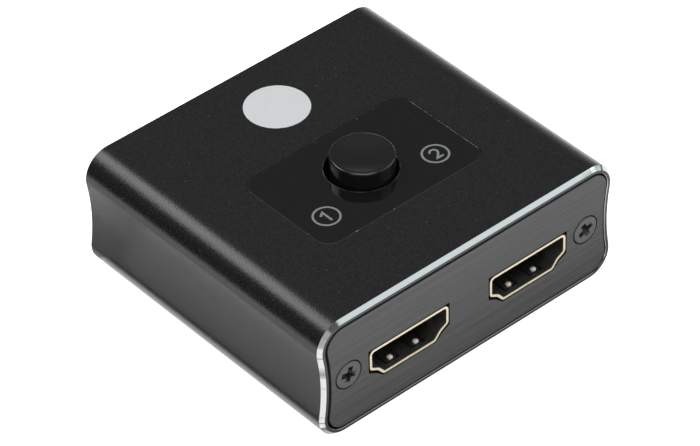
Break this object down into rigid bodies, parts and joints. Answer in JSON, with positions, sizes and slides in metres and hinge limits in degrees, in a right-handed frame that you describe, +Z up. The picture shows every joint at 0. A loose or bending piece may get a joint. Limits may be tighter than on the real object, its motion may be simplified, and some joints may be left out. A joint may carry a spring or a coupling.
{
  "type": "hdmi switch box",
  "caption": "Small signal switch box: waisted aluminium sleeve, brushed end panels with sockets, and a push button in a glossy top inlay.",
  "frame": {"origin": "middle of the underside", "axes": "+X to the right seen from the front, +Y from the front panel to the rear panel, +Z up"},
  "size_m": [0.0568, 0.0528, 0.024],
  "materials": {
    "anodised_sleeve": "bead-blasted black anodised, with bright-cut end chamfers",
    "brushed_panel": "brushed dark grey anodised",
    "black_screw": "black zinc plated steel",
    "gloss_inlay": "glossy black acrylic with light grey numbers",
    "adhesive": "double-sided adhesive sheet",
    "gloss_cap": "glossy black moulded plastic",
    "board": "green solder mask",
    "switch_moulding": "black moulded plastic",
    "plunger_moulding": "off-white acetal",
    "contact_metal": "gold-plated copper alloy",
    "spring_wire": "bright spring steel wire",
    "terminal_metal": "tin-plated copper alloy",
    "lamp": "chip lamp with a clear lens",
    "clear_guide": "clear acrylic",
    "chip_moulding": "black epoxy",
    "capacitor_body": "tan ceramic with tinned ends",
    "resistor_body": "black glazed ceramic with tinned ends",
    "socket_shell": "pale gold plated steel",
    "socket_insulator": "black moulded plastic"
  },
  "bodies": {
    "housing": {"sleeve": "anodised_sleeve", "front_panel": "brushed_panel", "rear_panel": "brushed_panel", "front_screws": "black_screw", "rear_screws": "black_screw", "top_inlay": "gloss_inlay", "inlay_tape": "adhesive", "circuit_board": "board", "switch_base": "switch_moulding", "switch_cover": "switch_moulding", "return_spring": "spring_wire", "switch_terminals": "terminal_metal", "indicator_lamps": "lamp", "light_guides": "clear_guide", "signal_chip": "chip_moulding", "chip_leads": "terminal_metal", "capacitors": "capacitor_body", "resistors": "resistor_body", "left_socket_shell": "socket_shell", "left_socket_insulator": "socket_insulator", "left_socket_contacts": "contact_metal", "right_socket_shell": "socket_shell", "right_socket_insulator": "socket_insulator", "right_socket_contacts": "contact_metal", "rear_socket_shell": "socket_shell", "rear_socket_insulator": "socket_insulator", "rear_socket_contacts": "contact_metal"},
    "button": {"button_cap": "gloss_cap", "switch_plunger": "plunger_moulding", "sliding_contacts": "contact_metal"},
    "latch": {"latch_pin": "spring_wire"}
  },
  "joints": [
    {"name": "button_press", "type": "slide", "parent": "housing", "child": "button", "axis": [0, 0, -1], "range_m": [0, 0.0022], "stiffness_N_per_m": 800, "deforming": ["return_spring"]},
    {"name": "latch_swing", "type": "hinge", "parent": "housing", "child": "latch", "pos_m": [0.00302, -0.00345, 0.00792], "axis": [1, 0, 0], "range_deg": [0, 18.3]}
  ],
  "couplings": [
    {"joint": "latch_swing", "follows": "button_press", "rad_per_m": 143.6}
  ]
}
